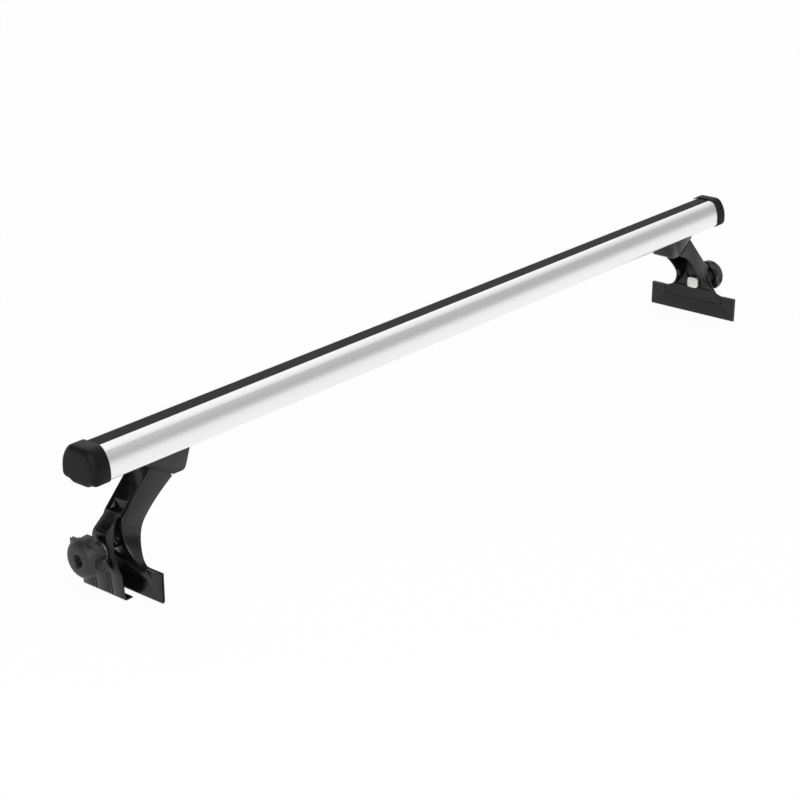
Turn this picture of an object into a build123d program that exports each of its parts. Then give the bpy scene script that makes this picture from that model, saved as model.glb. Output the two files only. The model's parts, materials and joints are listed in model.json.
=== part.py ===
from build123d import *
import math
import os

# Roof rack crossbar for a car with rain gutters. Millimetres, +Z up.
# X runs along the bar, Y along the car, and the origin lies midway between the feet,
# level with the underside of the clamp lips.

# Bar
overall_length = 1456.0
bar_shift = -5.0
bar_width = 60.0
bar_height = 43.0
bar_top_z = 203.2
bar_shoulder = 11.6
bar_corner = 7.0
bar_flank = 6.0
shoulder_radius = 13.0
bar_wall = 2.2
web_thickness = 2.0
keel_width = 30.0
keel_depth = 2.5

# Slots of the bar
slot_mouth = 12.0
slot_chamber = 24.0
slot_lip = 3.0
lower_chamber_height = 8.0
upper_chamber_height = 7.2
strip_width = 22.0
strip_thickness = 2.2
strip_side_gap = 0.2
strip_end_gap = 0.2
strip_barb_reach = 3.0
strip_barb_height = 4.0

# End caps
cap_length = 25.5
cap_wall = 1.6
cap_fit = 0.1
cap_end_wall = 4.0
cap_rounding = 8.0
cap_corner = 9.0
cap_keel_depth = 4.0
cap_keel_half = 9.0

# Foot: the blade stands in the gutter, and its outer face sets the gutter spacing
foot_inset = 45.0
blade_width = 165.0
blade_height = 40.2
blade_thickness = 5.7
blade_bottom_z = 3.0
sheet = 2.0
crease_height = 26.0
crease_groove = 0.5

# Leg: a channel, narrow above and flared to the blade
leg_width = 37.6
leg_flare_width = 117.0
leg_flare_top = 84.0
leg_lean = 1.0
leg_knee_height = 93.0
leg_slope = 44.3
leg_knee_radius = 26.0
leg_edge_radius = 3.0
deep_flange_foot = 6.0
shallow_flange_foot = 2.6

# Window in the leg, where the clamp hooks in
window_bottom = 97.2
window_height = 14.4
window_width = 22.7

# Saddle under the bar
saddle_inner_reach = 120.0
saddle_outer_reach = 51.0
saddle_floor_height = 126.0
saddle_floor_length = 20.5
saddle_rake = 10.0
saddle_corner = 8.0
saddle_seam = 0.9
joint_drop = 5.0
joint_gap = 2.0
tongue_rise = 7.5
tongue_root = 14.0

# Fasteners of the saddle
slot_plate_length = 56.0
slot_plate_thickness = 5.0
bar_bolt_radius = 3.0
bar_bolt_spacing = 34.0
bar_bolt_inset = 20.0
bar_bolt_head = 4.0
bar_bolt_flats = 10.0
bar_washer_radius = 6.0
bar_washer_thickness = 1.6
slide_gap = 0.1

# Clamp plate
clamp_reach = 22.5
clamp_neck = 23.8
clamp_width = 75.0
clamp_flare_top = 86.0
clamp_flare_bottom = 29.0
clamp_shoulder = 80.5
clamp_knee = 28.0
clamp_toe = 19.5
clamp_flange_depth = 14.0
clamp_edge_radius = 2.0
lip_length = 13.0
lip_corner = 4.0
hook_width = 21.6
hook_length = 14.0
hook_gap = 0.3
hook_end_height = 10.0
rib_radius = 2.0
rib_offset = 14.5

# Knob, screw and nut on one axis
screw_height = 55.2
screw_radius = 4.0
screw_fit = 0.05
screw_slot_drop = 3.5
washer_radius = 14.0
washer_thickness = 2.0
running_gap = 0.1
knob_radius = 27.4
knob_depth = 23.6
knob_wall = 3.5
knob_hub_radius = 13.0
knob_hub_length = 11.4
knob_lobes = 6
knob_flute_radius = 13.0
knob_flute_depth = 4.0
knob_eye_radius = 5.5
knob_eye_depth = 11.0
screw_head_flats = 13.0
screw_head_height = 7.0
nut_width = 19.6
nut_tall = 17.6
nut_corner = 5.0
nut_flange = 6.5
nut_boss = 13.0
nut_boss_reach = 12.0
nut_floor = 2.5
nut_ear_gap = 0.4

# Places worked out from the sizes above
gutter_spacing = overall_length - 2 * foot_inset
bar_length = overall_length - 2 * cap_end_wall
bar_bottom_z = bar_top_z - bar_height
keel_bottom_z = bar_bottom_z - keel_depth
blade_x = gutter_spacing / 2
blade_inner_x = blade_x - blade_thickness
screw_z = blade_bottom_z + screw_height
knee_x = blade_x + leg_lean
knee_z = blade_bottom_z + leg_knee_height
crease_z = blade_bottom_z + crease_height
blade_top_z = blade_bottom_z + blade_height
clamp_x = blade_x + clamp_reach
slope_run = math.tan(math.radians(leg_slope))
far = 60.0


def leg_face_x(z):
    """Outer face of the leg's sloping stretch, at height z."""
    return knee_x - (z - knee_z) * slope_run


def leg_web_x(z):
    """Outer face of the leg below its knee, at height z."""
    return blade_x + leg_lean * (z - crease_z) / (knee_z - crease_z)


def side_face(points):
    """Face in the XZ plane from (x, z) points."""
    return Plane.XZ * make_face(Polyline(*points, close=True))


def front_face(points):
    """Face in the YZ plane from (y, z) points."""
    return Plane.YZ * make_face(Polyline(*points, close=True))


def across(face, low, high):
    """Side face extruded along Y from low to high."""
    return Pos(0, low, 0) * extrude(face, amount=high - low, dir=(0, 1, 0))


def along(face, low, high):
    """Front face extruded along X from low to high."""
    return Pos(low, 0, 0) * extrude(face, amount=high - low, dir=(1, 0, 0))


def round_corner(face, at, radius):
    """Round the face's corner that lies nearest to a point."""
    return fillet(face.vertices().sort_by_distance(Vector(*at))[0:1], radius)


def box(x_low, x_high, y_low, y_high, z_low, z_high):
    """Box between two corners."""
    size = (x_high - x_low, y_high - y_low, z_high - z_low)
    centre = ((x_low + x_high) / 2, (y_low + y_high) / 2, (z_low + z_high) / 2)
    return Pos(*centre) * Box(*size)


def rod(x_low, x_high, radius, y=0.0, z=screw_z):
    """Cylinder along X."""
    return Pos((x_low + x_high) / 2, y, z) * Rot(0, 90, 0) * Cylinder(radius, x_high - x_low)


def post(z_low, z_high, radius, x=0.0, y=0.0):
    """Cylinder along Z."""
    return Pos(x, y, (z_low + z_high) / 2) * Cylinder(radius, z_high - z_low)


def hexagon(flats):
    """Regular hexagon by its width across flats."""
    return RegularPolygon(flats / 2, 6, major_radius=False)


def shoulder_curve(half, top_z):
    """Two arcs from the flat top down to the flank, tangent to both and to each other."""
    foot_z = bar_bottom_z + bar_corner + bar_flank
    run, drop = half - bar_shoulder, top_z - foot_z
    small = shoulder_radius
    large = (run**2 + drop**2 - 2 * drop * small) / (2 * (run - small))
    turn = math.atan2(drop - small, large - run)

    def upper(angle):
        return bar_shoulder + small * math.cos(angle), top_z - small + small * math.sin(angle)

    def lower(angle):
        return half - large + large * math.cos(angle), foot_z + large * math.sin(angle)

    return [
        ThreePointArc(upper(math.pi / 2), upper((turn + math.pi / 2) / 2), upper(turn)),
        ThreePointArc(upper(turn), lower(turn / 2), lower(0)),
    ]


def bar_outline():
    """Outer outline of the bar: flat top, curved flanks, and a keel below."""
    half = bar_width / 2
    flank_z = bar_bottom_z + bar_corner
    top = Line((0, bar_top_z), (bar_shoulder, bar_top_z))
    shoulder = shoulder_curve(half, bar_top_z)
    flank = Line((half, flank_z + bar_flank), (half, flank_z))
    corner_mid = (half - bar_corner * (1 - math.sqrt(0.5)), flank_z - bar_corner * math.sqrt(0.5))
    corner = ThreePointArc((half, flank_z), corner_mid, (half - bar_corner, bar_bottom_z))
    under = Polyline(
        (half - bar_corner, bar_bottom_z),
        (keel_width / 2, bar_bottom_z),
        (keel_width / 2, keel_bottom_z),
        (0, keel_bottom_z),
    )
    right = Curve() + [top, *shoulder, flank, corner, under]
    return make_face(right + mirror(right, Plane.YZ))


def band(half, z_low, z_high):
    """Rectangle about the section's middle line."""
    return Pos(0, (z_low + z_high) / 2) * Rectangle(2 * half, z_high - z_low)


def bar_section():
    """Hollow section with the upper and lower slots."""
    outline = bar_outline()
    housing = slot_chamber / 2 + bar_wall
    recess_z = bar_top_z - strip_thickness
    upper_top = recess_z - slot_lip
    upper_floor = upper_top - upper_chamber_height
    lower_floor = keel_bottom_z + slot_lip
    lower_top = lower_floor + lower_chamber_height
    hollow = offset(outline, amount=-bar_wall)
    hollow -= band(housing, upper_floor - bar_wall, bar_top_z)
    hollow -= band(housing, keel_bottom_z, lower_top + bar_wall)
    hollow -= band(keel_width / 2 + bar_wall, keel_bottom_z, bar_bottom_z + bar_wall)
    web_place = housing - web_thickness / 2
    for side in (-1, 1):
        hollow -= Pos(side * web_place, bar_bottom_z) * Rectangle(web_thickness, 2 * bar_height)
    section = outline - hollow
    section -= band(strip_width / 2 + strip_side_gap, recess_z, bar_top_z)
    section -= band(slot_mouth / 2, upper_top, bar_top_z)
    section -= band(slot_chamber / 2, upper_floor, upper_top)
    section -= band(slot_mouth / 2, keel_bottom_z, lower_floor)
    section -= band(slot_chamber / 2, lower_floor, lower_top)
    return section


def crossbar():
    """Aluminium extrusion."""
    return along(Plane.YZ * bar_section(), bar_shift - bar_length / 2, bar_shift + bar_length / 2)


def top_strip():
    """Rubber strip with a barbed foot, pushed into the upper slot between the caps."""
    recess_z = bar_top_z - strip_thickness
    stem = slot_mouth / 2 - strip_side_gap
    barb_z = recess_z - slot_lip - strip_side_gap
    half = strip_width / 2
    points = [
        (half - strip_thickness / 2, bar_top_z),
        (half, recess_z + strip_thickness / 2),
        (half, recess_z),
        (stem, recess_z),
        (stem, barb_z),
        (stem + strip_barb_reach, barb_z),
        (stem - strip_barb_reach / 2, barb_z - strip_barb_height),
    ]
    mirrored = [(-y, z) for y, z in reversed(points)]
    face = front_face(points + mirrored)
    reach = overall_length / 2 - cap_length - strip_end_gap
    return along(face, bar_shift - reach, bar_shift + reach)


def cap_outline():
    """Outer outline of the cap: the bar's flanks, run smoothly into a shallow keel."""
    wall = cap_wall + cap_fit
    half = bar_width / 2 + wall
    low = bar_bottom_z - wall
    corner_x, corner_z = half - cap_corner, low + cap_corner
    bow = cap_corner * math.sqrt(0.5)
    top_z = bar_top_z + wall
    level = (-1, 0)
    right = Curve() + [
        Line((0, top_z), (bar_shoulder, top_z)),
        *shoulder_curve(half, top_z),
        Line((half, bar_bottom_z + bar_corner + bar_flank), (half, corner_z)),
        ThreePointArc((half, corner_z), (corner_x + bow, corner_z - bow), (corner_x, low)),
        Spline((corner_x, low), (cap_keel_half, low - cap_keel_depth), tangents=(level, level)),
        Line((cap_keel_half, low - cap_keel_depth), (0, low - cap_keel_depth)),
    ]
    return make_face(right + mirror(right, Plane.YZ))


def end_cap():
    """Hollow cap over the bar's right end."""
    end_x = bar_shift + overall_length / 2
    inner_x = end_x - cap_length
    shell = along(Plane.YZ * cap_outline(), inner_x, end_x)
    rim = shell.faces().sort_by(Axis.X)[-1].edges()
    shell = fillet(rim, cap_rounding)
    pocket = Plane.YZ * offset(bar_outline(), amount=cap_fit)
    return shell - along(pocket, inner_x, end_x - cap_end_wall)


def joint_points():
    """Ends of the slanted line where saddle and leg meet, inner end first."""
    inner_x = blade_x - saddle_inner_reach + saddle_rake + saddle_floor_length
    outer_x = blade_x - saddle_outer_reach
    outer_z = keel_bottom_z - joint_drop
    return (inner_x, blade_bottom_z + saddle_floor_height), (outer_x, outer_z)


def joint_length():
    """Length of the line where saddle and leg meet."""
    (x0, z0), (x1, z1) = joint_points()
    return math.hypot(x1 - x0, z1 - z0)


def joint_frame(along_line, above):
    """Point placed along the saddle's joint line, and above it at right angles."""
    (x0, z0), (x1, z1) = joint_points()
    length = joint_length()
    ux, uz = (x1 - x0) / length, (z1 - z0) / length
    return x0 + along_line * ux - above * uz, z0 + along_line * uz + above * ux


def saddle():
    """Pressed box under the bar, open on its slanted side."""
    inner_joint, outer_joint = joint_points()
    inner_x = blade_x - saddle_inner_reach
    floor_z = blade_bottom_z + saddle_floor_height
    half = leg_width / 2
    corner = (inner_x + saddle_rake, floor_z)
    outline = side_face([
        (inner_x, keel_bottom_z),
        corner,
        inner_joint,
        outer_joint,
        (outer_joint[0], keel_bottom_z),
    ])
    outline = round_corner(outline, (corner[0], 0, corner[1]), saddle_corner)
    cavity = offset(outline, amount=-sheet)
    mouth_end = joint_length() - sheet
    mouth = side_face([
        joint_frame(sheet, -sheet),
        joint_frame(sheet, 2 * sheet),
        joint_frame(mouth_end - 2 * sheet, 2 * sheet),
        joint_frame(mouth_end, -sheet),
    ])
    body = across(outline, -half, half)
    body -= across(cavity, sheet - half, half - sheet)
    body -= across(mouth, sheet - half, half - sheet)
    for x in bar_bolt_places():
        body -= post(keel_bottom_z - 2 * sheet, keel_bottom_z, bar_bolt_radius * 1.1, x)
    seam_x = inner_joint[0]
    seam = side_face([
        (seam_x, floor_z),
        (seam_x - saddle_rake, keel_bottom_z),
        (seam_x - saddle_rake + saddle_seam, keel_bottom_z),
        (seam_x + saddle_seam, floor_z),
    ])
    return body - across(seam, -half, saddle_seam - half)


def bar_bolt_places():
    """X of the two bolts that hold the saddle to the slot plate."""
    first = blade_x - saddle_inner_reach + bar_bolt_inset
    return first, first + bar_bolt_spacing


def slot_plate():
    """Steel plate in the bar's lower slot."""
    first, last = bar_bolt_places()
    middle = (first + last) / 2
    floor_z = keel_bottom_z + slot_lip + slide_gap
    half_width = slot_chamber / 2 - strip_side_gap
    plate = box(middle - slot_plate_length / 2, middle + slot_plate_length / 2,
                -half_width, half_width, floor_z, floor_z + slot_plate_thickness)
    for x in (first, last):
        plate -= post(floor_z, floor_z + slot_plate_thickness, bar_bolt_radius + screw_fit, x)
    return plate


def bar_bolts():
    """Two hexagon-head bolts, up through the saddle into the slot plate."""
    head_top = keel_bottom_z - sheet - bar_washer_thickness
    tip = keel_bottom_z + slot_lip + slide_gap + slot_plate_thickness
    bolts = []
    for x in bar_bolt_places():
        head = Pos(x, 0, head_top - bar_bolt_head) * extrude(hexagon(bar_bolt_flats), bar_bolt_head)
        bolts.append(head + post(head_top, tip, bar_bolt_radius, x))
    return Compound(children=bolts)


def bar_washers():
    """Washers under the heads of the two bolts."""
    top = keel_bottom_z - sheet
    washers = []
    for x in bar_bolt_places():
        disc = post(top - bar_washer_thickness, top, bar_washer_radius, x)
        washers.append(disc - post(top - bar_washer_thickness, top, bar_bolt_radius * 1.1, x))
    return Compound(children=washers)


def leg_profile():
    """Side region bounded by the leg's outer face, open and far away inside."""
    top_z = knee_z + far
    inner_x = blade_x - 3 * far
    face = side_face([
        (leg_face_x(top_z), top_z),
        (knee_x, knee_z),
        (blade_x, crease_z),
        (blade_x, crease_z - far),
        (inner_x, crease_z - far),
        (inner_x, top_z),
    ])
    return round_corner(face, (knee_x, 0, knee_z), leg_knee_radius)


def flange_region(points):
    """Side region outside a flange's free edge, which is a smooth curve."""
    places = [(blade_x + x, blade_bottom_z + z) for x, z in points]
    edge = Spline(*places)
    first, last = places[0], places[-1]
    rest = Polyline(last, (last[0] - 25, last[1] + 30), (last[0] - 25, last[1] + far),
                    (blade_x + far, last[1] + far), (blade_x + far, first[1] - far),
                    (first[0], first[1] - far), first)
    return Plane.XZ * make_face(Curve() + [edge, rest])


def deep_region():
    """Free edge of the deep flange."""
    return flange_region([(-deep_flange_foot, 41), (-23, 61), (-32, 77), (-52.5, 99.7), (-88.7, 126)])


def shallow_region():
    """Free edge of the shallow flange."""
    return flange_region([(-shallow_flange_foot, 41), (-11, 60), (-20, 75), (-34.7, 93.4),
                          (-55.2, 110.8), (-79.6, 123.1)])


def flared_outline(half, wide, neck_height, wide_height, low_z, top_z):
    """Outline with straight sides that curve out to a wider foot."""
    neck_z = blade_bottom_z + neck_height
    wide_z = blade_bottom_z + wide_height
    drop = neck_z - wide_z
    radius = ((wide - half) ** 2 + drop ** 2) / (2 * (wide - half))
    turn = math.asin(drop / radius) / 2
    middle = (half + radius * (1 - math.cos(turn)), neck_z - radius * math.sin(turn))
    right = Curve() + [
        Line((0, top_z), (half, top_z)),
        Line((half, top_z), (half, neck_z)),
        ThreePointArc((half, neck_z), middle, (wide, wide_z)),
        Line((wide, wide_z), (wide, low_z)),
        Line((wide, low_z), (0, low_z)),
    ]
    return make_face(right + mirror(right, Plane.YZ))


def leg_front(inset):
    """Front outline of the flared channel, drawn in by an inset."""
    top_z = keel_bottom_z + far
    face = flared_outline(leg_width / 2, leg_flare_width / 2, leg_flare_top, blade_height, crease_z, top_z)
    if inset:
        face = offset(face, amount=-inset)
        face += band(leg_flare_width / 2 - inset, crease_z - inset, crease_z + 2 * inset)
    return Plane.YZ * face


def above_joint(gap):
    """Side region above the saddle's joint line, lowered by a gap."""
    return side_face([
        joint_frame(-far, -gap),
        joint_frame(2 * far, -gap),
        joint_frame(2 * far, far),
        joint_frame(-far, far),
    ])


def leg_tongue():
    """Stretch of flange that reaches up inside the saddle."""
    end = joint_length() - 2 * sheet
    return side_face([
        joint_frame(0, -tongue_root),
        joint_frame(0, -joint_gap),
        joint_frame(1.5 * sheet, 0),
        joint_frame(1.5 * sheet, tongue_rise),
        joint_frame(end - tongue_rise, tongue_rise),
        joint_frame(end, 0),
        joint_frame(end, -tongue_root),
    ])


def blade():
    """Sheet folded on itself, standing in the gutter."""
    half = blade_width / 2
    bend = blade_thickness / 2
    fold_z = blade_bottom_z + bend
    centre_x = blade_x - bend
    outer = box(blade_x - sheet, blade_x, -half, half, fold_z, blade_top_z)
    inner = box(blade_inner_x, blade_inner_x + sheet, -half, half, fold_z, blade_top_z)
    relief_half = leg_flare_width / 2
    inner -= box(blade_inner_x, blade_inner_x + sheet, -relief_half, relief_half, crease_z, blade_top_z)
    ring = Plane.XZ * (Pos(centre_x, fold_z) * (Circle(bend) - Circle(bend - sheet)))
    ring -= side_face([
        (centre_x - bend, fold_z),
        (centre_x + bend, fold_z),
        (centre_x + bend, fold_z + bend),
        (centre_x - bend, fold_z + bend),
    ])
    middle_cut = box(blade_x - sheet, blade_x, -relief_half, relief_half, crease_z, blade_top_z)
    return outer - middle_cut + inner + across(ring, -half, half)


def inner_leaf():
    """Middle of the folded layer, leaning out from the crease to the leg's web."""
    top_z = screw_z - nut_tall / 2 - nut_ear_gap
    reach = leg_web_x(top_z) - sheet
    leaf = side_face([
        (blade_inner_x, crease_z),
        (reach - sheet, top_z),
        (reach, top_z),
        (blade_inner_x + sheet, crease_z),
    ])
    wide = leg_flare_width / 2
    return across(leaf, -wide, wide) & along(leg_front(sheet / 2), blade_x - far, blade_x + far)


def crease_grooves():
    """Shallow pressed lines along the crease, on both faces of the blade."""
    half = leg_flare_width / 2 - leg_edge_radius
    low_z, high_z = crease_z - crease_groove, crease_z + crease_groove
    outer = box(blade_x - crease_groove, blade_x + sheet, -half, half, low_z, high_z)
    inner = box(blade_inner_x - sheet, blade_inner_x + crease_groove, -half, half, low_z, high_z)
    return outer + inner


def leg_window():
    """Rectangular window through the sloping web."""
    low_z = blade_bottom_z + window_bottom
    high_z = low_z + window_height
    deep = 3 * sheet
    ux, uz = math.cos(math.radians(leg_slope)), math.sin(math.radians(leg_slope))
    low_x, high_x = leg_face_x(low_z), leg_face_x(high_z)
    hole = side_face([
        (low_x + deep * ux, low_z + deep * uz),
        (low_x - deep * ux, low_z - deep * uz),
        (high_x - deep * ux, high_z - deep * uz),
        (high_x + deep * ux, high_z + deep * uz),
    ])
    return across(hole, -window_width / 2, window_width / 2)


def leg():
    """Pressed channel leg with its blade, window, nut hole and nut ears."""
    profile = leg_profile()
    half = blade_width
    span = (blade_x - 3 * far, blade_x + far)
    joint = above_joint(joint_gap)
    deep = (profile & deep_region()) - joint
    shallow = (profile & shallow_region()) - joint
    body = across(deep, 0, half) + across(shallow, -half, 0)
    body &= along(leg_front(0), *span)
    body = soften_leg(body)
    inner_profile = offset(profile, amount=-sheet)
    body -= across(inner_profile, -half, half) & along(leg_front(sheet), *span)
    body += blade()
    body += inner_leaf()
    body -= crease_grooves()
    tongue = leg_tongue()
    inner_half = leg_width / 2 - sheet
    body += across(tongue & (profile & deep_region()), inner_half - sheet, inner_half)
    body += across(tongue & (profile & shallow_region()), -inner_half, sheet - inner_half)
    body -= leg_window()
    web_x = leg_web_x(screw_z)
    boss = nut_boss / 2 + nut_ear_gap
    body -= box(web_x - 2 * sheet, web_x + sheet, -boss, boss, screw_z - boss, screw_z + boss)
    ear = nut_width / 2 + nut_ear_gap
    ear_half = nut_tall / 2
    for side in (-1, 1):
        low, high = sorted((side * ear, side * (ear + sheet)))
        body += box(web_x - sheet - 4.0, web_x - sheet / 2, low, high, screw_z - ear_half, screw_z + ear_half)
    return body


def soften_leg(body):
    """Bend radius between the web and the two flanges."""
    chosen = []
    for edge in body.edges():
        middle = edge @ 0.5
        tall = abs((edge @ 0).Z - (edge @ 1).Z) > 2 * leg_edge_radius and middle.Z > blade_top_z
        web_z = min(middle.Z, knee_z)
        on_slope = abs(middle.X - leg_face_x(middle.Z)) < 0.2
        on_web = middle.Z < knee_z + leg_edge_radius and middle.X > leg_web_x(web_z) - sheet
        if abs(middle.Y) > leg_width / 2 - 0.1 and tall and (on_slope or on_web):
            chosen.append(edge)
    return fillet(chosen, leg_edge_radius)


def clamp_profile():
    """Side region bounded by the clamp's outer face, open inside."""
    shoulder_z = blade_bottom_z + clamp_shoulder
    knee = blade_bottom_z + clamp_knee
    hook_top = blade_bottom_z + window_bottom + hook_gap + sheet
    face = side_face([
        (blade_x - far, hook_top),
        (leg_face_x(blade_bottom_z + window_bottom) + 2.0, hook_top),
        (clamp_x, shoulder_z),
        (clamp_x, knee),
        (blade_x + clamp_toe, 0),
        (blade_x + clamp_toe - lip_length, 0),
        (blade_x - far, 0),
    ])
    face = round_corner(face, (clamp_x, 0, shoulder_z), 12.0)
    return round_corner(face, (blade_x + clamp_toe, 0, 0), lip_corner)


def clamp_front(inset):
    """Front outline of the clamp: narrow neck, flared to the lower plate."""
    top_z = blade_bottom_z + clamp_shoulder + far
    face = flared_outline(clamp_neck / 2, clamp_width / 2, clamp_flare_top, clamp_flare_bottom, -far, top_z)
    if inset:
        face = offset(face, amount=-inset)
        face += band(clamp_width / 2, -far, blade_bottom_z + clamp_flare_bottom - 1.0)
    return Plane.YZ * face


def clamp_rear():
    """Side region in front of the free edges of the clamp's flanges."""
    hook_z = blade_bottom_z + window_bottom + hook_gap
    neck_x = clamp_x - clamp_flange_depth
    knee = blade_bottom_z + clamp_knee
    plate_x = clamp_x - sheet
    lip_x = blade_x + clamp_toe - lip_length
    inner_toe = blade_x + clamp_toe - sheet
    return side_face([
        (leg_face_x(hook_z) + 0.4, hook_z),
        (leg_face_x(hook_z) + 0.4, hook_z + far),
        (clamp_x + far, hook_z + far),
        (clamp_x + far, -far),
        (lip_x, -far),
        (lip_x, sheet),
        (inner_toe, sheet),
        (plate_x, knee),
        (neck_x + 4.0, blade_bottom_z + 66.0),
        (neck_x - 3.5, blade_bottom_z + 84.0),
        (leg_face_x(blade_bottom_z + 93.0) + 1.6, blade_bottom_z + 93.5),
    ])


def clamp():
    """Pressed clamp plate: hook, neck, flared sides, ribs and lip."""
    profile = clamp_profile()
    half = clamp_width / 2
    span = (blade_x - 2 * far, clamp_x + far)
    body = across(profile & clamp_rear(), -half, half)
    body &= along(clamp_front(0), *span)
    inner_profile = offset(profile, amount=-sheet)
    body -= across(inner_profile, -half, half) & along(clamp_front(sheet), *span)
    hook_z = blade_bottom_z + window_bottom + hook_gap
    edge_x = leg_face_x(hook_z)
    hook_x = edge_x - hook_length
    hook_half = hook_width / 2
    body += box(hook_x, edge_x + 2.0, -hook_half, hook_half, hook_z, hook_z + sheet)
    body += box(hook_x, hook_x + sheet, -hook_half, hook_half, hook_z, hook_z + hook_end_height)
    body += clamp_ribs()
    slot = SlotCenterToCenter(screw_slot_drop, 2 * screw_radius + 1.0, rotation=90)
    slot_z = screw_z - screw_slot_drop / 2
    body -= along(Plane.YZ * (Pos(0, slot_z) * slot), clamp_x - 3 * sheet, clamp_x + sheet)
    return body


def clamp_ribs():
    """Two stiffening ribs down the lower plate."""
    knee = blade_bottom_z + clamp_knee
    low = (blade_x + clamp_toe + 0.1, 4.0)
    run = (clamp_x - 0.2 - low[0], knee - low[1])
    length = math.hypot(*run)
    lean = math.degrees(math.atan2(run[0], run[1]))
    ribs = []
    for side in (-1, 1):
        bar = Pos(0, 0, length / 2) * Cylinder(rib_radius, length)
        bar += Sphere(rib_radius) + Pos(0, 0, length) * Sphere(rib_radius)
        ribs.append(Pos(low[0] - 0.7 * rib_radius, side * rib_offset, low[1]) * Rot(0, lean, 0) * bar)
    back = side_face([
        (clamp_x - sheet / 2, knee + 3 * rib_radius),
        (clamp_x + far, knee + 3 * rib_radius),
        (clamp_x + far, 0),
        (blade_x + clamp_toe - sheet / 2, 0),
        (clamp_x - sheet / 2, knee),
    ])
    return (ribs[0] + ribs[1]) & across(back, -clamp_width / 2, clamp_width / 2)


def washer_x():
    """Inner face of the thrust washer."""
    return clamp_x + running_gap


def hub_x():
    """Inner face of the knob's hub."""
    return washer_x() + washer_thickness + running_gap


def thrust_washer():
    """Washer between the clamp and the knob's hub."""
    x0 = washer_x()
    x1 = x0 + washer_thickness
    return rod(x0, x1, washer_radius) - rod(x0, x1, screw_radius + 2 * screw_fit)


def knob():
    """Moulded knob: domed face, fluted skirt, hub, and an eye over the screw's head."""
    skirt_x = hub_x() + knob_hub_length
    face_x = skirt_x + knob_depth
    r = knob_radius
    profile = make_face(Curve() + [
        Line((skirt_x, 0), (skirt_x, r - 1.0)),
        Line((skirt_x, r - 1.0), (skirt_x + 1.0, r)),
        Line((skirt_x + 1.0, r), (skirt_x + 0.6 * knob_depth, 0.96 * r)),
        ThreePointArc((skirt_x + 0.6 * knob_depth, 0.96 * r), (face_x - 3.4, 0.80 * r), (face_x, 0.5 * r)),
        Line((face_x, 0.5 * r), (face_x, 0)),
        Line((face_x, 0), (skirt_x, 0)),
    ])
    body = revolve(Plane.XZ * profile, Axis.X)
    for i in range(knob_lobes):
        turn = 360.0 / knob_lobes * (i + 0.5)
        place = r + knob_flute_radius - knob_flute_depth
        flute = Rot(turn, 0, 0) * Pos(0, 0, place) * Rot(0, 96, 0) * Cylinder(knob_flute_radius, 4 * knob_depth)
        body -= Pos(face_x, 0, 0) * flute
    ring = rod(skirt_x, face_x - 2.4 * knob_wall, r - knob_flute_depth - knob_wall, z=0)
    ring -= rod(skirt_x, face_x, knob_hub_radius, z=0)
    body -= ring
    body += rod(hub_x(), skirt_x + knob_wall, knob_hub_radius, z=0)
    body -= rod(hub_x(), face_x, screw_radius, z=0)
    head_x = face_x - knob_eye_depth
    body -= rod(head_x, face_x, knob_eye_radius, z=0)
    rim = Pos(face_x - 1.0, 0, 0) * Rot(0, 90, 0) * Cone(knob_eye_radius, knob_eye_radius + 2.0, 2.01)
    body -= rim
    pocket = Plane.YZ * hexagon(screw_head_flats)
    body -= along(pocket, head_x - screw_head_height, head_x)
    return Pos(0, 0, screw_z) * body


def screw_head_x():
    """Outer end of the screw's head, at the bottom of the knob's eye."""
    return hub_x() + knob_hub_length + knob_depth - knob_eye_depth


def knob_screw():
    """Long screw whose hexagon head is held in the knob."""
    head_x = screw_head_x()
    head = Plane.YZ * (Pos(0, screw_z) * hexagon(screw_head_flats))
    body = along(head, head_x - screw_head_height, head_x)
    body += rod(nut_bore_x() + 1.0, head_x - screw_head_height, screw_radius)
    return body - rod(head_x - 4.0, head_x, 3.0)


def nut_face_x():
    """Inner face of the leg's web at the nut, where the nut's flange bears."""
    return leg_web_x(screw_z - nut_tall / 2) - sheet - running_gap


def nut_bore_x():
    """Closed end of the nut's bore."""
    return nut_face_x() - nut_flange + nut_floor


def square_nut():
    """Square nut with a boss through the leg's web and a blind bore."""
    face_x = nut_face_x()
    flange = Plane.YZ * (Pos(0, screw_z) * RectangleRounded(nut_width, nut_tall, nut_corner))
    boss = Plane.YZ * (Pos(0, screw_z) * RectangleRounded(nut_boss, nut_boss, 1.5))
    body = along(flange, face_x - nut_flange, face_x)
    body += along(boss, face_x, face_x + nut_boss_reach)
    return body - rod(nut_bore_x(), face_x + nut_boss_reach, screw_radius + screw_fit)


os.makedirs("parts", exist_ok=True)

export_step(crossbar(), "parts/crossbar.step")
export_step(top_strip(), "parts/top_strip.step")

cap = end_cap()
export_step(cap, "parts/right_end_cap.step")
export_step(Pos(2 * bar_shift, 0, 0) * Rot(0, 0, 180) * cap, "parts/left_end_cap.step")

foot_pieces = {
    "saddle": saddle(),
    "slot_plate": slot_plate(),
    "bar_bolts": bar_bolts(),
    "bar_washers": bar_washers(),
    "leg": leg(),
    "clamp": clamp(),
    "thrust_washer": thrust_washer(),
    "knob": knob(),
    "knob_screw": knob_screw(),
    "square_nut": square_nut(),
}

# The two feet are alike, so the left one is the right one turned half round.
for name, piece in foot_pieces.items():
    export_step(piece, f"parts/right_{name}.step")
    export_step(Rot(0, 0, 180) * piece, f"parts/left_{name}.step")
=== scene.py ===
import json
import math

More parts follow.
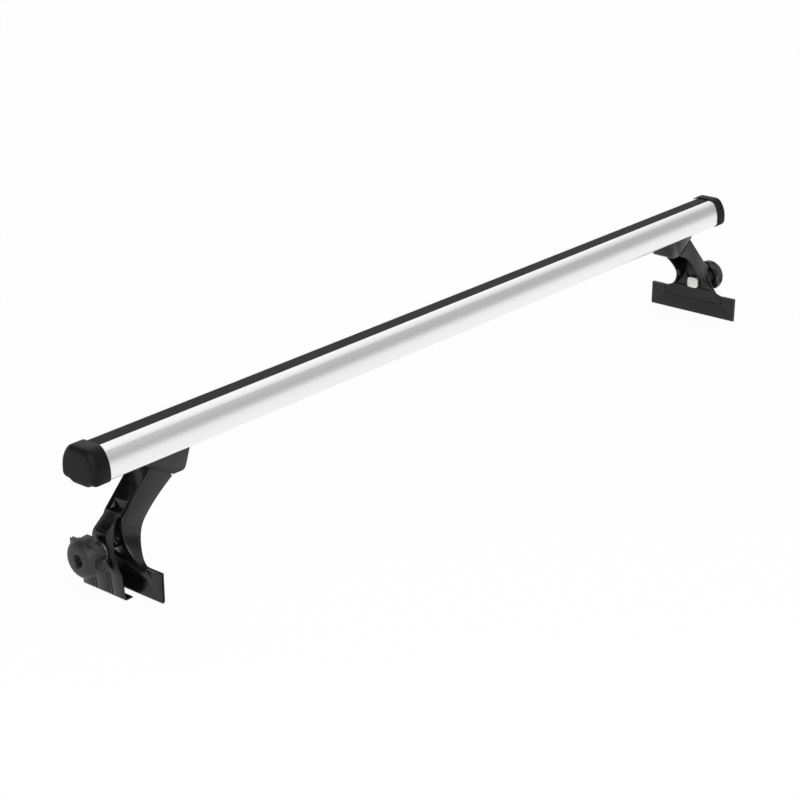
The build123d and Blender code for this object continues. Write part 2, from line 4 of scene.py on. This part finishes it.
import bpy
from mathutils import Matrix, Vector


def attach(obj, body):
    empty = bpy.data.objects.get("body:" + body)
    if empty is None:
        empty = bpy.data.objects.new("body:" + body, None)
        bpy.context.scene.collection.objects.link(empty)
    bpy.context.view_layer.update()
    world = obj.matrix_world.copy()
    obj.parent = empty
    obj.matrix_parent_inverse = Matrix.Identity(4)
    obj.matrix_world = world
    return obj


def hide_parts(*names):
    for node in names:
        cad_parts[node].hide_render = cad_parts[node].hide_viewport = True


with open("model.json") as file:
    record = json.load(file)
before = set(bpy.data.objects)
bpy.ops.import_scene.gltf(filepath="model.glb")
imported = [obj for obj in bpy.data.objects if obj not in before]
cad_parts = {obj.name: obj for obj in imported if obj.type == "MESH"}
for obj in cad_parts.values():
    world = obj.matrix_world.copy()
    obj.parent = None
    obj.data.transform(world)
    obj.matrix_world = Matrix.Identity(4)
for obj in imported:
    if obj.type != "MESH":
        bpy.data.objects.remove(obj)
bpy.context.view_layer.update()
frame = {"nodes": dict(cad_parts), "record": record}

# Sizes and places in metres: X runs along the bar, and Z rises from the lips of the clamps

SIDES = {"right": 1.0, "left": -1.0}
QUARTER_TURN = math.pi / 2
SCREW_Z = 0.0582

KNOB_FACE_X = 0.7427
KNOB_RADIUS = 0.0274
KNOB_LOBES = 6
HOLLOW_RADIUS = 0.0105
HOLLOW_DEPTH = 0.0062
HOLLOW_BELOW_FACE = 0.0140
HOLLOW_REACH = 0.03
EYE_RADIUS = 0.0078
EYE_DEPTH = 0.0108
EYE_MOUTH_RADIUS = 0.0118
EYE_MOUTH_DEPTH = 0.002

PLATE_X = 0.7039
PLATE_LEAN = math.radians(5.7)
RIB_Y = 0.0145
RIB_Z = 0.0185
RIB_HALF_WIDTH = 0.0024
RIB_LINE = (0.0030, 0.0013, 0.030)
HOOK_Z = 0.1095
HOOK_RISE = 0.0036

NUT_BOSS_X = 0.690
NUT_BOSS_SHORTER = 0.0115

BLADE_OUTER_X = 0.683
BLADE_INNER_X = 0.6773
CREASE_Z = 0.029
CREASE_LINE = (0.0030, 0.111, 0.0015)

SADDLE_DROP = 0.00015

EDGE_WIDTHS = {
    "knob": 0.0007,
    "clamp": 0.0004,
    "square_nut": 0.0006,
    "leg": 0.0005,
    "saddle": 0.0006,
    "end_cap": 0.0005,
}
EDGE_SEGMENTS = 2
EDGE_ANGLE = math.radians(32.0)
KNOB_EDGE_ANGLE = math.radians(25.0)

MERGE_DISTANCE = 0.00001
FLAT_ANGLE = math.radians(0.6)

# Points that differ by less than this lie on one level
LEVEL_BAND = 0.0001


def deselect():
    """Nothing selected, object mode."""
    if bpy.context.object and bpy.context.object.mode != "OBJECT":
        bpy.ops.object.mode_set(mode="OBJECT")
    bpy.ops.object.select_all(action="DESELECT")


def pick(piece):
    """Only this piece selected and active."""
    deselect()
    piece.select_set(True)
    bpy.context.view_layer.objects.active = piece


# Finishes

NOISE_SPAN = (0.3, 0.7)
TINT_SPAN = (0.35, 0.65)
RUBBED_SPAN = (0.53, 0.60)
EVEN = (1.0, 1.0, 1.0)


def grey(level):
    """Neutral colour of one level."""
    return (level, level, level)


def new_finish(name, colour, roughness, metallic=0.0, specular=0.5):
    """Material with a Principled shader, and the shader itself."""
    material = bpy.data.materials.new(name)
    material.use_nodes = True
    shader = material.node_tree.nodes["Principled BSDF"]
    shader.inputs["Base Color"].default_value = (*colour, 1.0)
    shader.inputs["Roughness"].default_value = roughness
    shader.inputs["Metallic"].default_value = metallic
    shader.inputs["Specular IOR Level"].default_value = specular
    return material, shader


def stretched_noise(material, scale, stretch=EVEN, detail=3.0):
    """Noise on object coordinates, stretched per axis."""
    nodes, links = material.node_tree.nodes, material.node_tree.links
    place = nodes.new("ShaderNodeTexCoord")
    mapping = nodes.new("ShaderNodeMapping")
    mapping.inputs["Scale"].default_value = stretch
    noise = nodes.new("ShaderNodeTexNoise")
    noise.inputs["Scale"].default_value = scale
    noise.inputs["Detail"].default_value = detail
    links.new(place.outputs["Object"], mapping.inputs["Vector"])
    links.new(mapping.outputs["Vector"], noise.inputs["Vector"])
    return noise.outputs["Fac"]


def spread(material, pattern, low, high, socket):
    """Pattern brought between two numbers, into a socket."""
    nodes, links = material.node_tree.nodes, material.node_tree.links
    ramp = nodes.new("ShaderNodeMapRange")
    ramp.inputs["From Min"].default_value, ramp.inputs["From Max"].default_value = NOISE_SPAN
    ramp.inputs["To Min"].default_value = low
    ramp.inputs["To Max"].default_value = high
    links.new(pattern, ramp.inputs["Value"])
    links.new(ramp.outputs["Result"], socket)


def edge_share(material):
    """How far a spot lies on an outer edge, from 0 to 1."""
    nodes, links = material.node_tree.nodes, material.node_tree.links
    surface = nodes.new("ShaderNodeNewGeometry")
    ramp = nodes.new("ShaderNodeMapRange")
    ramp.inputs["From Min"].default_value, ramp.inputs["From Max"].default_value = RUBBED_SPAN
    links.new(surface.outputs["Pointiness"], ramp.inputs["Value"])
    return ramp.outputs["Result"]


def tint(material, pattern, dark, light, worn, shader):
    """Pattern as a slight change of colour, with outer edges rubbed to a paler tone."""
    nodes, links = material.node_tree.nodes, material.node_tree.links
    ramp = nodes.new("ShaderNodeValToRGB")
    for element, position, colour in zip(ramp.color_ramp.elements, TINT_SPAN, (dark, light)):
        element.position = position
        element.color = (*colour, 1.0)
    rub = nodes.new("ShaderNodeMix")
    rub.data_type = "RGBA"
    rub.inputs["B"].default_value = (*worn, 1.0)
    links.new(pattern, ramp.inputs["Fac"])
    links.new(edge_share(material), rub.inputs["Factor"])
    links.new(ramp.outputs["Color"], rub.inputs["A"])
    links.new(rub.outputs["Result"], shader.inputs["Base Color"])


def relief(material, pattern, shader, strength, distance=0.0001):
    """Pattern as a fine bump."""
    nodes, links = material.node_tree.nodes, material.node_tree.links
    bump = nodes.new("ShaderNodeBump")
    bump.inputs["Strength"].default_value = strength
    bump.inputs["Distance"].default_value = distance
    links.new(pattern, bump.inputs["Height"])
    links.new(bump.outputs["Normal"], shader.inputs["Normal"])


def satin_aluminium():
    """Anodised extrusion with faint die lines along the bar."""
    material, shader = new_finish("satin aluminium", (0.92, 0.92, 0.925), roughness=0.34, metallic=1.0)
    lines = stretched_noise(material, scale=60.0, stretch=(0.02, 14.0, 14.0), detail=2.0)
    spread(material, lines, 0.33, 0.37, shader.inputs["Roughness"])
    tint(material, lines, (0.91, 0.91, 0.915), (0.93, 0.93, 0.935), grey(0.95), shader)
    relief(material, lines, shader, strength=0.02)
    return material


def strip_rubber():
    """Dull black rubber."""
    material, shader = new_finish("strip rubber", grey(0.009), roughness=0.6, specular=0.11)
    grain = stretched_noise(material, scale=900.0, stretch=(0.3, 1.0, 1.0))
    tint(material, grain, grey(0.008), grey(0.010), grey(0.016), shader)
    spread(material, grain, 0.56, 0.66, shader.inputs["Roughness"])
    relief(material, grain, shader, strength=0.1)
    return material


def moulded_plastic(name, level, roughness, specular):
    """Black plastic with a fine moulded grain."""
    material, shader = new_finish(name, grey(level), roughness, specular=specular)
    grain = stretched_noise(material, scale=1400.0, detail=4.0)
    tint(material, grain, grey(0.85 * level), grey(1.15 * level), grey(2.0 * level), shader)
    spread(material, grain, roughness - 0.04, roughness + 0.05, shader.inputs["Roughness"])
    relief(material, grain, shader, strength=0.1)
    return material


def black_paint():
    """Glossy black paint on pressed steel, with a faint orange peel."""
    material, shader = new_finish("black paint", grey(0.003), roughness=0.22, specular=0.38)
    peel = stretched_noise(material, scale=160.0, detail=1.0)
    tint(material, peel, grey(0.0025), grey(0.0035), grey(0.012), shader)
    spread(material, peel, 0.20, 0.25, shader.inputs["Roughness"])
    relief(material, peel, shader, strength=0.02, distance=0.0002)
    return material


def zinc_plate():
    """Zinc-plated steel."""
    material, shader = new_finish("zinc plate", (0.55, 0.55, 0.56), roughness=0.35, metallic=1.0)
    cloud = stretched_noise(material, scale=220.0)
    spread(material, cloud, 0.28, 0.44, shader.inputs["Roughness"])
    tint(material, cloud, (0.50, 0.50, 0.51), grey(0.60), grey(0.68), shader)
    relief(material, cloud, shader, strength=0.03)
    return material


def shade_darkened_steel():
    """Near-black steel for the knob's screw in place of its zinc plate: painted shade for the shadow it
    sits in between the nut and the clamp.
    """
    material, shader = new_finish("shade darkened steel", grey(0.02), roughness=0.42, metallic=1.0)
    cloud = stretched_noise(material, scale=300.0)
    spread(material, cloud, 0.36, 0.50, shader.inputs["Roughness"])
    tint(material, cloud, grey(0.016), grey(0.026), grey(0.06), shader)
    relief(material, cloud, shader, strength=0.03)
    return material


def pale_plastic():
    """Off-white plastic of the square nut."""
    material, shader = new_finish("pale plastic", (0.88, 0.885, 0.86), roughness=0.45)
    grain = stretched_noise(material, scale=700.0)
    tint(material, grain, (0.87, 0.875, 0.85), (0.89, 0.895, 0.87), (0.90, 0.90, 0.88), shader)
    spread(material, grain, 0.42, 0.50, shader.inputs["Roughness"])
    relief(material, grain, shader, strength=0.05)
    return material


finishes = {
    "bar": satin_aluminium(),
    "strip": strip_rubber(),
    "cap": moulded_plastic("cap plastic", level=0.004, roughness=0.5, specular=0.16),
    "foot": black_paint(),
    "knob": moulded_plastic("knob plastic", level=0.016, roughness=0.45, specular=0.4),
    "fastener": zinc_plate(),
    # The screw's near-black finish is painted shade for the shadow it sits in
    "screw": shade_darkened_steel(),
    "nut": pale_plastic(),
}
slots = {row["node"]: row["material_slot"] for row in frame["record"]["subparts"]}


def paint(piece, slot):
    """One finish over the whole piece."""
    piece.data.materials.clear()
    piece.data.materials.append(finishes[slot])


for name, node in frame["nodes"].items():
    # The knob's screw takes the near-black finish, painted shade in place of its zinc slot
    paint(node, "screw" if name.endswith("knob_screw") else slots[name])


# Ways of working a piece

def body_of_node(name):
    """The body that carries a node."""
    for body, names in frame["record"]["behaviour"]["bodies"].items():
        if name in names:
            return body
    return "bar"


def form_copy(name):
    """A node's form as a piece of its own, in the node's place, ready to be worked on."""
    mesh = frame["nodes"][name].data.copy()
    piece = bpy.data.objects.new(name + "_form", mesh)
    bpy.context.scene.collection.objects.link(piece)
    pick(piece)
    bpy.ops.object.mode_set(mode="EDIT")
    bpy.ops.mesh.select_all(action="SELECT")
    bpy.ops.mesh.remove_doubles(threshold=MERGE_DISTANCE)
    bpy.ops.mesh.dissolve_limited(angle_limit=FLAT_ANGLE)
    bpy.ops.object.mode_set(mode="OBJECT")
    return piece


def cut_away(piece, tool):
    """Tool's form cut out of a piece."""
    pick(piece)
    cut = piece.modifiers.new("cut", "BOOLEAN")
    cut.operation = "DIFFERENCE"
    cut.solver = "EXACT"
    cut.object = tool
    bpy.ops.object.modifier_apply(modifier="cut")
    bpy.data.objects.remove(tool)


def round_edges(piece, width, angle=EDGE_ANGLE):
    """Edges sharper than the angle rounded over, and smooth shading across them."""
    pick(piece)
    rounding = piece.modifiers.new("edge", "BEVEL")
    rounding.width = width
    rounding.segments = EDGE_SEGMENTS
    rounding.limit_method = "ANGLE"
    rounding.angle_limit = angle
    rounding.use_clamp_overlap = True
    rounding.miter_outer = "MITER_ARC"
    bpy.ops.object.modifier_apply(modifier="edge")
    bpy.ops.object.shade_smooth_by_angle(angle=EDGE_ANGLE)


def stand_for(piece, name):
    """Piece takes the node's finish, body and place in the model."""
    paint(piece, slots[name])
    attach(piece, body_of_node(name))
    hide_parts(name)


def shift_points(piece, chosen, move):
    """Chosen points of a piece moved together."""
    pick(piece)
    bpy.ops.object.mode_set(mode="EDIT")
    bpy.ops.mesh.select_mode(type="VERT")
    bpy.ops.mesh.select_all(action="DESELECT")
    bpy.ops.object.mode_set(mode="OBJECT")
    for vertex in piece.data.vertices:
        vertex.select = chosen(vertex.co)
    bpy.ops.object.mode_set(mode="EDIT")
    bpy.ops.transform.translate(value=move)
    bpy.ops.object.mode_set(mode="OBJECT")


def line_tool(size, place, turn=0.0):
    """Slim block that cuts a straight line, turned about Y."""
    deselect()
    bpy.ops.mesh.primitive_cube_add(size=1.0, location=place, rotation=(0.0, turn, 0.0), scale=size)
    return bpy.context.object


def hollow_tool(x, y, z):
    """Round bar that starts in a dome at x and runs in towards the leg."""
    deselect()
    bpy.ops.mesh.primitive_uv_sphere_add(
        segments=32, ring_count=16, radius=HOLLOW_RADIUS,
        location=(x, y, z), rotation=(0.0, QUARTER_TURN, 0.0))
    tool = bpy.context.object
    bpy.ops.object.transform_apply(location=True, rotation=True, scale=True)
    inward = -math.copysign(1.0, x)
    shift_points(tool, lambda co: (co.x - x) * inward > LEVEL_BAND, (inward * HOLLOW_REACH, 0.0, 0.0))
    return tool


def eye_tool(face_x):
    """Straight bore of the knob's eye."""
    deselect()
    bpy.ops.mesh.primitive_cylinder_add(
        vertices=64, radius=EYE_RADIUS, depth=2 * EYE_DEPTH,
        location=(face_x, 0.0, SCREW_Z), rotation=(0.0, QUARTER_TURN, 0.0))
    return bpy.context.object


def eye_mouth_tool(face_x, way):
    """Cone that widens the knob's eye towards its face."""
    deselect()
    bpy.ops.mesh.primitive_cone_add(
        vertices=64, radius1=EYE_RADIUS, radius2=EYE_MOUTH_RADIUS, depth=2 * EYE_MOUTH_DEPTH,
        location=(face_x, 0.0, SCREW_Z), rotation=(0.0, way * QUARTER_TURN, 0.0))
    return bpy.context.object


# Pieces of each foot, and the end caps

def lobed_knob(side):
    """Knob with six deep hollows that run out in domes below its face, and a wide bevelled eye."""
    way = SIDES[side]
    piece = form_copy(side + "_knob")
    face_x = way * KNOB_FACE_X
    from_axis = KNOB_RADIUS + HOLLOW_RADIUS - HOLLOW_DEPTH
    for i in range(KNOB_LOBES):
        turn = math.radians(360.0 / KNOB_LOBES * (i + 0.5))
        y = from_axis * math.sin(turn)
        z = SCREW_Z + from_axis * math.cos(turn)
        cut_away(piece, hollow_tool(face_x - way * HOLLOW_BELOW_FACE, y, z))
    cut_away(piece, eye_tool(face_x))
    cut_away(piece, eye_mouth_tool(face_x, way))
    round_edges(piece, EDGE_WIDTHS["knob"], KNOB_EDGE_ANGLE)
    stand_for(piece, side + "_knob")


def ribbed_clamp(side):
    """Clamp with a crisp line along both sides of each rib, and a taller hook end."""
    way = SIDES[side]
    piece = form_copy(side + "_clamp")
    shift_points(piece, lambda co: co.z > HOOK_Z, (0.0, 0.0, HOOK_RISE))
    for rib in (-RIB_Y, RIB_Y):
        for edge in (-RIB_HALF_WIDTH, RIB_HALF_WIDTH):
            place = (way * PLATE_X, rib + edge, RIB_Z)
            cut_away(piece, line_tool(RIB_LINE, place, way * PLATE_LEAN))
    round_edges(piece, EDGE_WIDTHS["clamp"])
    stand_for(piece, side + "_clamp")


def short_nut(side):
    """Square nut whose boss stays inside the leg's web."""
    way = SIDES[side]
    piece = form_copy(side + "_square_nut")
    shift_points(piece, lambda co: abs(co.x) > NUT_BOSS_X, (-way * NUT_BOSS_SHORTER, 0.0, 0.0))
    round_edges(piece, EDGE_WIDTHS["square_nut"])
    stand_for(piece, side + "_square_nut")


def creased_leg(side):
    """Leg with a crisp pressed line along the crease, on both faces of its blade."""
    way = SIDES[side]
    piece = form_copy(side + "_leg")
    for face_x in (BLADE_OUTER_X, BLADE_INNER_X):
        cut_away(piece, line_tool(CREASE_LINE, (way * face_x, 0.0, CREASE_Z)))
    round_edges(piece, EDGE_WIDTHS["leg"])
    stand_for(piece, side + "_leg")


def seated_saddle(side):
    """Saddle with rounded edges, its top a hair lower to stay clear of the bar that it slides along."""
    piece = form_copy(side + "_saddle")
    top_z = max(vertex.co.z for vertex in piece.data.vertices)
    shift_points(piece, lambda co: co.z > top_z - LEVEL_BAND, (0.0, 0.0, -SADDLE_DROP))
    round_edges(piece, EDGE_WIDTHS["saddle"])
    stand_for(piece, side + "_saddle")


def rounded_cap(side):
    """End cap with its edges rounded over."""
    piece = form_copy(side + "_end_cap")
    round_edges(piece, EDGE_WIDTHS["end_cap"])
    stand_for(piece, side + "_end_cap")


for side in SIDES:
    lobed_knob(side)
    ribbed_clamp(side)
    short_nut(side)
    creased_leg(side)
    seated_saddle(side)
    rounded_cap(side)


# Floor, light and camera

FLOOR_SIZE = 60.0
FLOOR_Z = -0.0004
FLOOR_SEEN_SHARE = 0.95
FLOOR_MIRRORED_SHARE = 0.85

ROOM_STEPS = [(0.0, 0.6), (0.07, 0.40), (0.32, 0.40), (0.50, 0.62), (0.68, 0.95), (1.0, 1.0)]
BACK_SPAN = (0.0, 0.35)
SCREEN_DIRECTION = (-0.50, 0.56, 0.66)
SCREEN_SPAN = (0.84, 0.92)
SCREEN_LEVEL = 0.03

LIGHT_TARGET = (0.0, 0.0, 0.1)
CAMERA_PLACE = (-2.12369, -1.65280, 1.10697)
CAMERA_DIRECTION = (0.71665, 0.59266, -0.36764)
VIEW_REACH = 100.0

# Sensor and lens in millimetres
SENSOR_WIDTH = 36.0
LENS = 86.95


def floor_finish():
    """White floor that keeps the shadow and shows pale in gloss."""
    material, shader = new_finish("floor", grey(0.92), roughness=0.9, specular=0.0)
    nodes, links = material.node_tree.nodes, material.node_tree.links
    glow = nodes.new("ShaderNodeEmission")
    glow.inputs["Color"].default_value = (1.0, 1.0, 1.0, 1.0)
    path = nodes.new("ShaderNodeLightPath")
    seen = nodes.new("ShaderNodeMath")
    seen.operation = "MULTIPLY"
    seen.inputs[1].default_value = FLOOR_SEEN_SHARE
    mirrored = nodes.new("ShaderNodeMath")
    mirrored.operation = "MULTIPLY_ADD"
    mirrored.inputs[1].default_value = FLOOR_MIRRORED_SHARE
    blend = nodes.new("ShaderNodeMixShader")
    links.new(path.outputs["Is Camera Ray"], seen.inputs[0])
    links.new(path.outputs["Is Glossy Ray"], mirrored.inputs[0])
    links.new(seen.outputs[0], mirrored.inputs[2])
    links.new(mirrored.outputs[0], blend.inputs["Fac"])
    links.new(shader.outputs[0], blend.inputs[1])
    links.new(glow.outputs[0], blend.inputs[2])
    links.new(blend.outputs[0], nodes["Material Output"].inputs["Surface"])
    return material


def room_ramp(nodes):
    """Grey of the room by height, from below to above."""
    ramp = nodes.new("ShaderNodeValToRGB")
    elements = ramp.color_ramp.elements
    while len(elements) < len(ROOM_STEPS):
        elements.new(0.5)
    for element, (position, level) in zip(elements, ROOM_STEPS):
        element.position = position
        element.color = (level, level, level, 1.0)
    return ramp


def soft_step(nodes, span, low, high):
    """Smooth change from one number to another across a span."""
    step = nodes.new("ShaderNodeMapRange")
    step.interpolation_type = "SMOOTHSTEP"
    step.inputs["From Min"].default_value, step.inputs["From Max"].default_value = span
    step.inputs["To Min"].default_value = low
    step.inputs["To Max"].default_value = high
    return step


def room_level(nodes, links):
    """Brightness of the room by direction: grey low down in front, white behind, a dark screen high up."""
    direction = nodes.new("ShaderNodeTexCoord")
    parts = nodes.new("ShaderNodeSeparateXYZ")
    links.new(direction.outputs["Generated"], parts.inputs[0])
    height = room_ramp(nodes)
    links.new(parts.outputs["Z"], height.inputs["Fac"])
    back = soft_step(nodes, BACK_SPAN, 0.0, 1.0)
    links.new(parts.outputs["Y"], back.inputs["Value"])
    wall = nodes.new("ShaderNodeMix")
    wall.inputs["B"].default_value = 1.0
    links.new(back.outputs["Result"], wall.inputs["Factor"])
    links.new(height.outputs["Color"], wall.inputs["A"])
    toward = nodes.new("ShaderNodeVectorMath")
    toward.operation = "DOT_PRODUCT"
    toward.inputs[1].default_value = SCREEN_DIRECTION
    links.new(direction.outputs["Generated"], toward.inputs[0])
    screen = soft_step(nodes, SCREEN_SPAN, 1.0, SCREEN_LEVEL)
    links.new(toward.outputs["Value"], screen.inputs["Value"])
    level = nodes.new("ShaderNodeMath")
    level.operation = "MULTIPLY"
    links.new(wall.outputs["Result"], level.inputs[0])
    links.new(screen.outputs["Result"], level.inputs[1])
    return level.outputs[0]


def studio_world():
    """White to the camera, and the room to everything else."""
    world = bpy.data.worlds.new("studio")
    bpy.context.scene.world = world
    world.use_nodes = True
    nodes, links = world.node_tree.nodes, world.node_tree.links
    room = nodes["Background"]
    room.inputs["Color"].default_value = (1.0, 1.0, 1.0, 1.0)
    links.new(room_level(nodes, links), room.inputs["Strength"])
    backdrop = nodes.new("ShaderNodeBackground")
    backdrop.inputs["Color"].default_value = (1.0, 1.0, 1.0, 1.0)
    backdrop.inputs["Strength"].default_value = 1.0
    path = nodes.new("ShaderNodeLightPath")
    blend = nodes.new("ShaderNodeMixShader")
    links.new(path.outputs["Is Camera Ray"], blend.inputs["Fac"])
    links.new(room.outputs[0], blend.inputs[1])
    links.new(backdrop.outputs[0], blend.inputs[2])
    links.new(blend.outputs[0], nodes["World Output"].inputs["Surface"])


def soft_light(name, place, size, power):
    """Square soft light aimed at the object."""
    lamp = bpy.data.lights.new(name, "AREA")
    lamp.shape = "SQUARE"
    lamp.size = size
    lamp.energy = power
    holder = bpy.data.objects.new(name, lamp)
    bpy.context.scene.collection.objects.link(holder)
    holder.location = place
    aim = Vector(LIGHT_TARGET) - Vector(place)
    holder.rotation_euler = aim.to_track_quat("-Z", "Y").to_euler()


deselect()
bpy.ops.mesh.primitive_plane_add(size=FLOOR_SIZE, location=(0.0, 0.0, FLOOR_Z))
floor = bpy.context.object
floor.name = "floor"
floor.data.materials.append(floor_finish())

studio_world()
soft_light("key", (-1.2, -2.6, 2.4), size=1.8, power=22.0)
soft_light("fill", (-3.2, -1.2, 1.2), size=1.6, power=30.0)

camera_data = bpy.data.cameras.new("camera")
camera_data.sensor_width = SENSOR_WIDTH
camera_data.lens = LENS
camera_data.clip_end = VIEW_REACH
camera = bpy.data.objects.new("camera", camera_data)
bpy.context.scene.collection.objects.link(camera)
camera.location = CAMERA_PLACE
camera.rotation_euler = Vector(CAMERA_DIRECTION).to_track_quat("-Z", "Y").to_euler()
bpy.context.scene.camera = camera
bpy.context.scene.view_settings.view_transform = "Standard"
